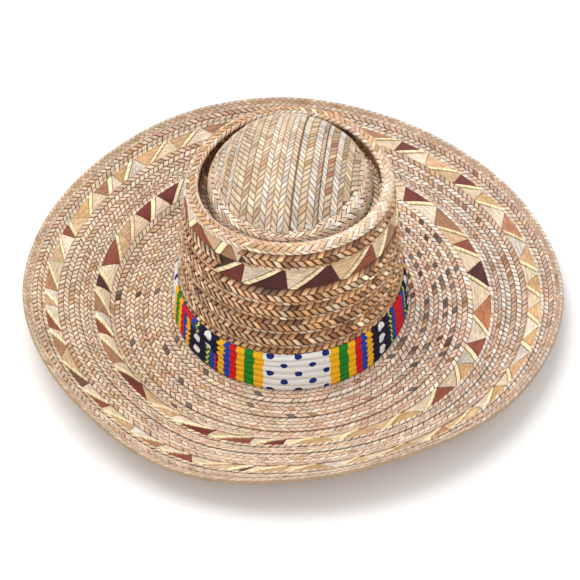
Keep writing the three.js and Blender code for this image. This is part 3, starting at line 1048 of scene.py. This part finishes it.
def crown_tints(column, angle):
    """Golden brown straws, and towards the left, by minus the cosine, paler ones of uneven tone."""
    left = np.clip(-np.cos(angle), 0, 1)[:, None] * 0.6
    count = len(angle)
    if column % 2:
        tints = pick(["tan", "honey", "brown", "umber"], [3, 4, 3, 0.5], count, 0.25)
    else:
        tints = pick(["beige", "tan", "honey", "brown"], [2, 3, 4, 1.5], count, 0.23)
    pale = pick(["fawn", "pink", "brown", "umber"], [3, 3, 2, 1], count, 0.3)
    return 1.35 * (tints * (1 - left) + pale * left)


def cord_tints(column, angle):
    """Paler straws, for the narrow column."""
    return pick(["cream", "beige", "tan", "honey"], [1, 3, 3, 2], len(angle), 0.16)


def wall_rows(bottom, top, row_count, keep=None):
    """Rows of the wall from the bottom up, each with a narrow lower column and two wide ones."""
    edges = np.linspace(bottom, top, row_count + 1)
    outline = []
    for low, high in reversed(list(zip(edges[:-1], edges[1:]))):
        outline += [(high, -ROW_STEP - CROWN_SINK), (low, -CROWN_SINK)]
    outline += [(bottom, BACK_LIFT), (top, BACK_LIFT)]
    parts = [ring(wall, outline, CROWN_GAP_SHADE, longest=40)]
    for low, high in zip(edges[:-1], edges[1:]):
        count = round_count(wall, (low + high) / 2, CROWN_PITCH)
        foot = low + CORD_WIDTH
        parts += plait(wall, [low, foot], count, 0.3, (0.7, 0.8), cord_tints, keep=keep, height=0.7,
                       border=0.4)
        borders = [foot, foot + (high - low - CORD_WIDTH) / 2, high]
        shadow = ([foot, low + 3.0, high - 4.0, high - 1.6, high], [0.5, 1.0, 1.0, 0.55, 0.2])
        parts += plait(wall, borders, count, 0.8, (0.35, 0.55, 0.3, -ROW_STEP), crown_tints, keep=keep,
                       shadow=shadow, **CROWN_FORM)
        under = low + (high - low) * np.array([0.06, 0.35, 0.65, 0.94])
        parts += plait(wall, under, count, LEAN, UNDER_LIFTS, crown_tints, **UNDER_FORM)
    return parts


make_piece("crown_lower_rows", wall_rows(0.3, 87.7, 7), "crown_straw")

# %% [markdown]
# ## Decorative round of the crown
# On the real hat the round is sewn as a spiral, so at the left it ends one row higher than it starts, beside
# the start of the plain row. Leaves all round would hide that. So the leaves leave a gap at the left, their
# start and their end are runs of their own, and plain plait fills the gap.

# %% Decorative round of the crown
ROUND_LOW, ROUND_HIGH, ROW_TOP = 88, 104.5, 116.7
LAPPED = (0, -ROW_STEP)
CROWN_ROUND = [
    # directions of the straw's lower and upper end in degrees, its coloured leaf and its pale one
    (246, 264, "dark maroon", "beige"), (270, 287, "dark maroon", "tan leaf"),
    (297, 314, "red brown", "beige"),
    (321, 332, "brown", "tan leaf"), (346, 363, "red brown", "beige"), (371, 388, "maroon", "beige"),
    (397, 414, "red brown", "tan leaf"), (422, 439, "amber", "beige"), (448, 465, "maroon", "pale leaf"),
    (473, 490, "red brown", "beige"), (499, 512, "maroon", "tan leaf"),
]
START_ROUND = [(228, 243, "maroon", "pale leaf"), (246, 264, "", "")]
UPPER_ROUND = [
    (152, 164, "brown", "beige"), (178, 188, "red brown", "pale leaf"), (203, 210, "red brown", "tan leaf"),
    (229, 234, "brown", "beige"), (244, 248, "", ""),
]
GAP_START, GAP_END, PLAIN_START = np.radians(152), np.radians(230), np.radians(243)


def run_of_leaves(low, high, rows):
    """An open run of the chart, whose last row only ends it."""
    crossings = np.radians([row[:2] for row in rows])
    coloured = leaf_tints([row[2] for row in rows[:-1]])
    pale = leaf_tints([row[3] for row in rows[:-1]])
    return leaves(wall, low, high, crossings, coloured, pale, LAPPED, closed=False)


def at_left(angle):
    """Whether a direction lies in the gap at the left."""
    return (angle > GAP_START) & (angle < GAP_END)


def off_left(angle):
    """Whether a direction has plain plait in the upper row."""
    return (angle < GAP_START) | (angle > PLAIN_START)


plain_count = round_count(wall, 96, CROWN_PITCH)
plain_part = plait(wall, [ROUND_LOW, 90.3, 96.8, 104.0], plain_count, 0.8, (0.35, 0.5, 0.3, -ROW_STEP),
                   crown_tints, keep=at_left, shadow=([100.5, 103, 104.5], [1.0, 0.6, 0.3]), **CROWN_FORM)
main_crossings = np.radians([row[:2] for row in CROWN_ROUND])
main_coloured = leaf_tints([row[2] for row in CROWN_ROUND[:-1]])
main_pale = leaf_tints([row[3] for row in CROWN_ROUND[:-1]])
start_run = run_of_leaves(ROUND_LOW, ROUND_HIGH, START_ROUND)
main_run = leaves(wall, ROUND_LOW, ROUND_HIGH, main_crossings, main_coloured, main_pale, LAPPED, closed=False)
leaf_round("crown_insert", wall, ROUND_LOW, ROUND_HIGH, main_run + plain_part + start_run, LAPPED)
upper = wall_rows(ROUND_HIGH, ROW_TOP, 1, keep=off_left)
upper += run_of_leaves(ROUND_HIGH, ROW_TOP, UPPER_ROUND)
make_piece("crown_upper_row", upper, "crown_straw")

# %% [markdown]
# ## Ridge
# One wide plait is bent over the ridge. Outside it is tan, with a pale run at the near right, on top it
# is pale, and its inner wall down to the moat is brown straw, made darker still as painted shade. A bent tube
# would stretch the plait. Columns that follow the section's own length bend over the roll without getting
# narrower.

# %% Ridge


def ridge_tints(column, angle):
    """Brown inside and darker still as painted shade, pale on top, and tan outside but for a pale run, which
    is a clipped sine of the angle.
    """
    count = len(angle)
    pale = 1.12 * pick(["beige", "white", "cream", "pink"], [3, 2, 2, 3], count, 0.09)
    if column in (4, 5):
        return 0.7 * pick(["brown", "honey", "umber"], [4, 1, 2], count, 0.2)
    if column in (0, 3):
        return pale * (0.95 if column == 3 else 1.0)
    smooth_run = np.clip(np.sin(angle - math.radians(230)) * 3 - 1.6, 0, 1)[:, None] * 0.8
    tan = 1.12 * pick(["tan", "honey", "rose", "beige"], [3, 3, 2, 1], count, 0.15)
    return tan * (1 - smooth_run) + pale * smooth_run


ridge_outline = [(run, -TOP_SINK) for run in np.linspace(0, RIDGE_RUN, 30)]
ridge_outline += [(run, BACK_LIFT) for run in np.linspace(RIDGE_RUN, 0, 30)]
parts = [ring(ridge, ridge_outline, GAP_SHADE)]
ridge_borders = [0, 2.4, 6.4, 10.2, 14.0, 18.0, RIDGE_RUN - 0.3]
parts += plait(ridge, ridge_borders, round_count(ridge, 8, PITCH), 0.8, (0.25, 0.25), ridge_tints,
               stops=(0, 0.08, 0.3, 0.5, 0.7, 0.92, 1), border=0.6)
make_piece("crown_ridge", parts, "crown_straw")

# %% [markdown]
# ## Dome's flank and moat
# Two rows climb the dome's flank from the moat. They are sewn round and round like the wall, so they are
# made like it. Near the moat they are brown at the left and at the far side, where little light comes. A
# lamp's shadow alone would be too weak for that, so the tints are darker too.

# %% Dome's flank and moat
FLANK_MIDDLE = 11
FLANK_PITCH = 5.4
MOAT_STRAWS = 84


def flank_tints(column, angle):
    """Palest at the near side, where painted light brightens the front, and browner towards the far side as
    painted shade, by the sine.
    """
    near = np.clip(0.5 - np.sin(angle), 0, 1)[:, None]
    bright = 1 + 0.25 * np.clip(-2 * np.sin(angle) - 0.8, 0, 1)[:, None]
    return (bright * pick(["white", "cream", "pink", "beige"], [2, 3, 3, 2], len(angle), 0.12) * near
            + pick(["tan", "beige", "brown"], [3, 3, 2], len(angle), 0.12) * (1 - near))


def foot_tints(column, angle):
    """The same, with the first columns over the moat painted brown as shade round 140 degrees, by the cosine.
    """
    light = np.ones(len(angle))
    if column < 2:
        light = np.clip(1.2 - 1.5 * np.cos(angle - math.radians(140)), 0, 1)
    light = light[:, None]
    pale = flank_tints(column, angle) * light
    return pale + 0.75 * pick(["brown", "umber"], [3, 1], len(angle), 0.2) * (1 - light)


def moat(angle, run, lift):
    """Level floor of the moat: in a straight line from the ridge's inner foot, 0, to the dome's foot, 1."""
    angle, run, lift = np.broadcast_arrays(angle, run, lift)
    outer = oval_offset(RIDGE, angle, -(RIDGE_WIDTH - WALL + CLEAR), MOAT_FLOOR)
    inner = dome(np.cos(angle), np.sin(angle), np.zeros_like(angle))
    point = outer + (inner - outer) * run[..., None]
    return point + np.stack([0 * lift, 0 * lift, lift], -1)


flank_outline = [
    (FLANK_RUN, -ROW_STEP - CROWN_SINK), (FLANK_MIDDLE, -CROWN_SINK), (FLANK_MIDDLE, -ROW_STEP - CROWN_SINK),
    (0, -CROWN_SINK), (0, BACK_LIFT), (FLANK_MIDDLE, BACK_LIFT), (FLANK_RUN, BACK_LIFT),
]
moat_outline = [(0, -0.3), (1.02, -0.3), (1.02, -WALL + 0.2), (0, -WALL + 0.2)]
parts = [ring(flank, flank_outline, GAP_SHADE), ring(moat, moat_outline, GAP_SHADE)]
parts += plait(moat, [0, 0.5, 1], MOAT_STRAWS, 0.8, (0, 0), foot_tints)
parts += plait(moat, [0.03, 0.5, 0.97], MOAT_STRAWS, 0.8, (-WALL + 0.1, -WALL + 0.1), flank_tints,
               **UNDER_FORM)
for low, high in ((0, FLANK_MIDDLE), (FLANK_MIDDLE, FLANK_RUN)):
    count = round_count(flank, low + 4, FLANK_PITCH)
    own_tints = flank_tints if low else foot_tints
    parts += plait(flank, np.linspace(low, high, 4), count, 0.8, (0, -ROW_STEP), own_tints)
    under = np.linspace(low + 0.5, high - 0.5, 4)
    parts += plait(flank, under, count, 0.8, UNDER_LIFTS, flank_tints, **UNDER_FORM)
make_piece("tip_rows", parts, "crown_straw")

# %% [markdown]
# ## Strips over the dome
# Six wide strips of pale plait run over the dome from front to back. Two of their seams lie open a little
# and the others are closed. A boolean cut would trim them to the round panel. Here each straw's ends are
# simply kept within the panel's limits, and so is the backing.

# %% Backing of the strips
TIP_SEAMS = np.array([-0.84, -0.52, -0.205, 0.141, 0.434, 0.69, 0.84]) * DOME[0]
OPEN_SEAMS = TIP_SEAMS[3:5]
CLOSED_STEP = 0.2


def panel_limits(across, extra=0.0):
    """How far the panel reaches, near and far: its half length times the root of 1 - (across share)^2."""
    share = np.sqrt(np.maximum(1 - (across / DOME[0] / (TIP_REACH + extra)) ** 2, 0.004))
    return -DOME[1] * (TIP_NEAR_REACH + extra * 0.5) * share, DOME[1] * (TIP_REACH + extra) * share


def strip_backing(left, right, step, rows=60, wide=9):
    """An upper and a lower grid over the strip, joined at their border. The left side lies a step lower."""
    across = np.linspace(left + CLEAR, right - CLEAR, wide)
    near, far = panel_limits(across, 0.01)
    share = np.linspace(0, 1, rows)[:, None]
    grid_along = near * (1 - share) + far * share
    grid_across = np.broadcast_to(across, grid_along.shape)
    tuck = step * (1 - np.linspace(0, 1, wide))[None, :] + 0 * grid_along
    top = tip(grid_along, grid_across, -tuck - CROWN_SINK).reshape(-1, 3)
    bottom = tip(grid_along, grid_across, np.full(grid_along.shape, BACK_LIFT)).reshape(-1, 3)
    cells = grid_quads(rows, wide, False, False)
    border = np.concatenate([
        np.arange(wide), np.arange(1, rows) * wide + wide - 1,
        (rows - 1) * wide + np.arange(wide - 2, -1, -1), np.arange(rows - 2, 0, -1) * wide,
    ])
    after = np.roll(border, -1)
    walls = np.stack([border, border + rows * wide, after + rows * wide, after], 1)
    quads = np.concatenate([cells, cells[:, ::-1] + rows * wide, walls])
    tint = np.tile(TIP_GAP_SHADE[:3], (len(quads), 1))
    points = np.concatenate([top, bottom])
    return closed_part(points, quads, np.zeros((len(quads), 4, 2)), tint, np.ones(len(points)))


print("seams between the strips, mm from the middle:", TIP_SEAMS.round(1))

# %% Straws of the strips
TIP_PITCH = 4.6
TIP_LEAN = 1.2
TIP_HALF_STRAW = TIP_PITCH * 0.485
TIP_OVERLAP = 0.06
TIP_FORM = {"tilt": 0.25, "border": 0.55, "stops": (0, 0.2, 0.8, 1), "sides": (0, 0.27, 0.73, 1)}


def tip_column(column, start, end, span, base, drawn, form):
    """A column of a strip: straws a pitch apart, cut off at the limits, darker away from the middle as
    painted shade on the dome's sides.
    """
    middle = (np.arange(-16, 17) + 0.5 * (column % 2)) * TIP_PITCH
    slope = TIP_LEAN * TIP_PITCH * (1 if column % 2 else -1) / 2
    near, far = panel_limits(np.array([(start + end) / 2]))
    middle = middle[(middle > near - 0.95 * TIP_PITCH) & (middle < far + 0.95 * TIP_PITCH)]
    one = np.stack([middle - TIP_HALF_STRAW - slope, middle - TIP_HALF_STRAW + slope], 1)
    other = one + 2 * TIP_HALF_STRAW
    near, far = panel_limits(span, 0.03)
    one, other = np.clip(one, near, far - 0.6), np.clip(other, near + 0.6, far)
    names, weights, spread = drawn
    # painted shade: the tints darken towards the dome's sides
    tints = pick(names, weights, len(middle), spread) * (0.95 - 0.17 * abs(start + end) / 94)
    rows = (len(middle), 1)
    return straws(tip, one, other, np.tile(span, rows), np.tile(base, rows), tints, **form)


def tip_strip(index, inner_borders, column_tints):
    """A backing, and columns of plait above and below it. They overlap, but for those at an open seam."""
    left, right = TIP_SEAMS[index:index + 2]
    left_open, right_open = left in OPEN_SEAMS, right in OPEN_SEAMS
    last = len(column_tints) - 1
    edges = [left + (0.5 if left_open else 0), *inner_borders, right + (0.1 if right_open else 0.2)]
    step = ROW_STEP if left_open or index == 0 else CLOSED_STEP
    parts = [strip_backing(left, right, step)]
    for form in (TIP_FORM, UNDER_FORM):
        for column, drawn in enumerate(column_tints):
            start, end = edges[column], edges[column + 1]
            overlap = TIP_OVERLAP * (end - start)
            span = np.array([start - overlap * (column > 0 or not left_open),
                             end + overlap * (column < last or not right_open)])
            base = np.interp(span, [left, right], [-step, 0]) if form is TIP_FORM else np.array(UNDER_LIFTS)
            parts.append(tip_column(column, start, end, span, base, drawn, form))
    make_piece(f"tip_strip_{index + 1}", parts, "tip_straw")


PALE = (["cream", "beige", "fawn", "pink"], [3, 3, 3, 2], 0.08)
WARM = (["beige", "tan", "fawn"], [3, 2, 2], 0.09)
COOL = (["white", "grey leaf", "cream", "beige"], [3, 2, 2, 1], 0.07)
RUST = (["rust", "tan", "rose", "beige"], [2, 2, 2, 1], 0.12)
BROWN = (["grey", "tan", "beige"], [2, 2, 3], 0.12)
AMBER = (["amber", "fawn", "beige"], [2, 2, 2], 0.09)
TIP_STRIPS = [
    # borders between the columns in mm from the middle, and each column's tints
    ([-47, -43, -39, -35.4], [COOL, PALE, AMBER, COOL, AMBER]),
    ([-27, -22, -17], [PALE, WARM, PALE, WARM]),
    ([-8.2, -4, 0.2, 4.4], [COOL, PALE, PALE, COOL, PALE]),
    ([14, 19, 24], [COOL, AMBER, COOL, BROWN]),
    ([30.2, 34.8, 39.2], [COOL, RUST, COOL, BROWN]),
    ([47], [WARM, AMBER]),
]
for index, (inner_borders, column_tints) in enumerate(TIP_STRIPS):
    tip_strip(index, inner_borders, column_tints)

# %% [markdown]
# ## Cloth band
# The band is a strip of cotton with six pleats along it, pulled round the foot of the crown. A cloth
# simulation could drape it, but it is held tight, so its folds are known: they follow the sine of the
# height, waver a little, and thin out at both edges. At the left one fold lies over another.

# %% Shape of the band
BAND_CENTRE = math.radians(271.75)
BAND_TURNS = 900
BAND_MIDDLE = 17.0
BAND_TOP = 32.6
PLEATS = 6
FOLD_PLACE = 62.0
FOLD_SLOPE = 0.31
band_angle = BAND_CENTRE + np.linspace(-np.pi, np.pi, BAND_TURNS + 1)
band_line = wall(band_angle, np.full(BAND_TURNS + 1, BAND_MIDDLE), np.full(BAND_TURNS + 1, 1.6))
band_run = np.concatenate([[0], np.cumsum(np.linalg.norm(np.diff(band_line, axis=0), axis=1))])
BAND_LENGTH = band_run[-1]
band_run -= BAND_LENGTH / 2
print("band, mm round:", round(BAND_LENGTH, 1))


def bell(value, middle, width):
    """A smooth hump: the exponential of minus the squared distance from its middle, in widths."""
    return np.exp(-(((value - middle) / width) ** 2))


share = np.linspace(0, 1, PLEATS * 6 + 1)[None, :]
run = band_run[:-1, None]
upper_edge = BAND_TOP + 0.6 * bell(run, 82, 22) - 0.5 * bell(run, -20, 40) + 0.25 * np.sin(run / 7.3)
lower_edge = 0.8 + 1.6 * bell(run, 95, 25) + 0.7 * bell(run, -45, 18) + 0.25 * np.sin(run / 5.9 + 1)
heights = upper_edge + (lower_edge - upper_edge) * share
waver = share * PLEATS + 0.13 * np.sin(run / 19 + share * 5) + 0.07 * np.sin(run / 7.7 + share * 11)
fold = np.abs(np.sin(np.pi * waver)) ** 0.55
ripple = 0.10 * np.sin(run / 2.3 + 3 * np.sin(share * 17)) * np.abs(share * 2 - 1)
over_fold = np.clip((heights - BAND_MIDDLE + (run + FOLD_PLACE) * FOLD_SLOPE) / 1.6, 0, 1)
over_fold = over_fold * np.clip((-58 - run) / 6, 0, 1)
thin_edge = np.minimum(1, 6 * np.minimum(share, 1 - share) + 0.35)
outer = 0.75 + (0.9 + 1.1 * fold + ripple + 0.45 * over_fold) * thin_edge
# Painted shade: the cloth is darker in the valleys of its pleats.
fold_shade = np.concatenate([0.62 + 0.38 * np.minimum(1, fold * 1.25), np.ones((BAND_TURNS, 2))], 1)

# %% Mesh of the band
section_height = np.concatenate([heights, lower_edge, upper_edge], 1)
section_lift = np.concatenate([outer, np.full((BAND_TURNS, 2), 0.6)], 1)
section_angle = np.broadcast_to(band_angle[:-1, None], section_height.shape)
section_size = section_height.shape[1]
points = wall(section_angle, section_height, section_lift).reshape(-1, 3)
quads = grid_quads(BAND_TURNS, section_size, True, True)
turn_of = np.repeat(np.arange(BAND_TURNS), section_size)
place_of = np.tile(np.arange(section_size), BAND_TURNS)
grain = np.zeros((len(quads), 4, 2))
for corner, (turn_on, place_on) in enumerate(((0, 0), (1, 0), (1, 1), (0, 1))):
    grain[:, corner, 0] = band_run[turn_of + turn_on]
    next_turn = (turn_of + turn_on) % BAND_TURNS
    grain[:, corner, 1] = section_height[next_turn, (place_of + place_on) % section_size]
band_part = closed_part(points, quads, grain, np.ones((len(quads), 3)), fold_shade.ravel())
print("points of the band:", len(points))

# %% [markdown]
# ## Print of the band
# The print runs outwards from a white panel with blue dots: yellow, green, yellow, red, blue, a yellow
# zigzag, navy with white ovals, a green zigzag, blue and red, and then the same back again. An image
# could carry it, but sums stay sharp at any size. They read the run along the band and the height on it,
# both in mm. The pleats shift the print a little against itself, and at the left a fold hides a part of
# it.

# %% Colours of the print
INKS = {
    "white": (228, 228, 228), "yellow": (238, 178, 28), "green": (34, 128, 40), "red": (204, 26, 34),
    "blue": (34, 66, 168), "navy": (28, 24, 52), "leaf": (36, 84, 50), "dot": (26, 44, 116),
    "pale yellow": (226, 214, 120),
}
STRIPES = [
    # distance from the middle of the white panel in mm, the ink that starts there, and whether its edge waves
    (24.3, "yellow", False), (31.5, "green", False), (39.1, "yellow", False), (45.2, "red", False),
    (50.8, "blue", False), (56.1, "yellow", True), (61.5, "navy", True), (82.2, "leaf", True),
    (87.5, "blue", False), (92.0, "red", False),
]
HALF_REPEAT = 99.75
HIDDEN = 43.0
SHARPNESS = 2.5
DOT_STEPS, DOT_HALVES = (20.6, 14.6), (2.8, 2.2)
OVAL_STEPS, OVAL_HALVES = (200.0, 10.2), (3.7, 3.4)
print("stripes of half a repeat:", len(STRIPES), "over", HALF_REPEAT, "mm")

# %% Finish of the band


def spots(along, high, steps, first, halves):
    """1 inside ovals that repeat by steps: where the squared distances in half sizes add up to under 1."""
    a = ((along - first[0]) / steps[0] + 0.5) % 1.0 - 0.5
    h = ((high - first[1]) / steps[1] + 0.5) % 1.0 - 0.5
    return (a * (steps[0] / halves[0])) ** 2 + (h * (steps[1] / halves[1])) ** 2 < 1.0


def print_distance(along, high, noise):
    """The distance from the nearest white panel's middle, with each pleat's shift and the fold's jump.

    A pleat's shift is the broken part of a large number times the sine of the pleat's own number.
    """
    pleat = ((33.0 - high) * (PLEATS / BAND_TOP)).maths("FLOOR")
    jag = (((pleat * 12.9898).maths("SINE") * 43758.5) % 1.0 - 0.5) * 0.9
    lower = (high < BAND_MIDDLE - (along + FOLD_PLACE) * FOLD_SLOPE) * (along < -63.0)
    moved = abs(along) + jag + (noise - 0.5) * 1.6 + lower * HIDDEN
    return abs(((moved + HALF_REPEAT) % (2 * HALF_REPEAT)) - HALF_REPEAT)

def band_finish():
    """Stripes mixed over each other from the middle outwards, dots, ovals and a line, times the shade."""
    material, tree, shader = new_finish("band_cloth")
    grain = node(tree, "ShaderNodeUVMap", {"uv_map": "grain"}).outputs[0]
    place = node(tree, "ShaderNodeSeparateXYZ", Vector=grain)
    along, high = Value(tree, place.outputs["X"]), Value(tree, place.outputs["Y"])
    flat = node(tree, "ShaderNodeCombineXYZ", X=along, Y=high).outputs[0]
    noise = noise_value(tree, flat, 0.22, 2.0, settings={"noise_dimensions": "2D"})
    distance = print_distance(along, high, noise)
    wave = (abs((high * 0.22) % 1.0 - 0.5) - 0.25) * 4.5
    colour = linear(*INKS["white"])
    for start, ink, waves in STRIPES:
        edge = distance + wave if waves else distance
        colour = mix(tree, (edge - start) * SHARPNESS + 0.5, colour, linear(*INKS[ink]))
    shifted = along + (noise - 0.5) * 2.0
    dots = (spots(shifted, high, DOT_STEPS, (1.0, 1.9), DOT_HALVES)
            + spots(shifted, high, DOT_STEPS, (11.3, 9.0), DOT_HALVES))
    colour = mix(tree, dots * (distance < 23.5), colour, linear(*INKS["dot"]))
    ovals = spots(distance, high, OVAL_STEPS, (72.0, 9.2), OVAL_HALVES)
    inside_navy = (distance > 64.5) * (distance < 79.5)
    colour = mix(tree, ovals * inside_navy, colour, linear(*INKS["white"]))
    line = (abs(distance + wave * 0.8 - 84.6) < 0.7) * (distance < 87.5)
    colour = mix(tree, line, colour, linear(*INKS["pale yellow"]))
    put(tree, shader.inputs["Base Color"], toned(tree, colour, stored_number(tree, "shade")))
    shader.inputs["Roughness"].default_value = 0.85
    shader.inputs["Specular IOR Level"].default_value = 0.2
    weave = ((along * 9.0).maths("SINE") * (high * 9.0).maths("SINE")) * 0.5 + noise * 2.0
    bump = node(tree, "ShaderNodeBump", Strength=0.25, Distance=0.0003, Height=weave)
    put(tree, shader.inputs["Normal"], bump.outputs[0])
    return material


finishes["band_cloth"] = band_finish()
band = make_piece("hat_band", [band_part], "band_cloth", "cloth", smooth=True)
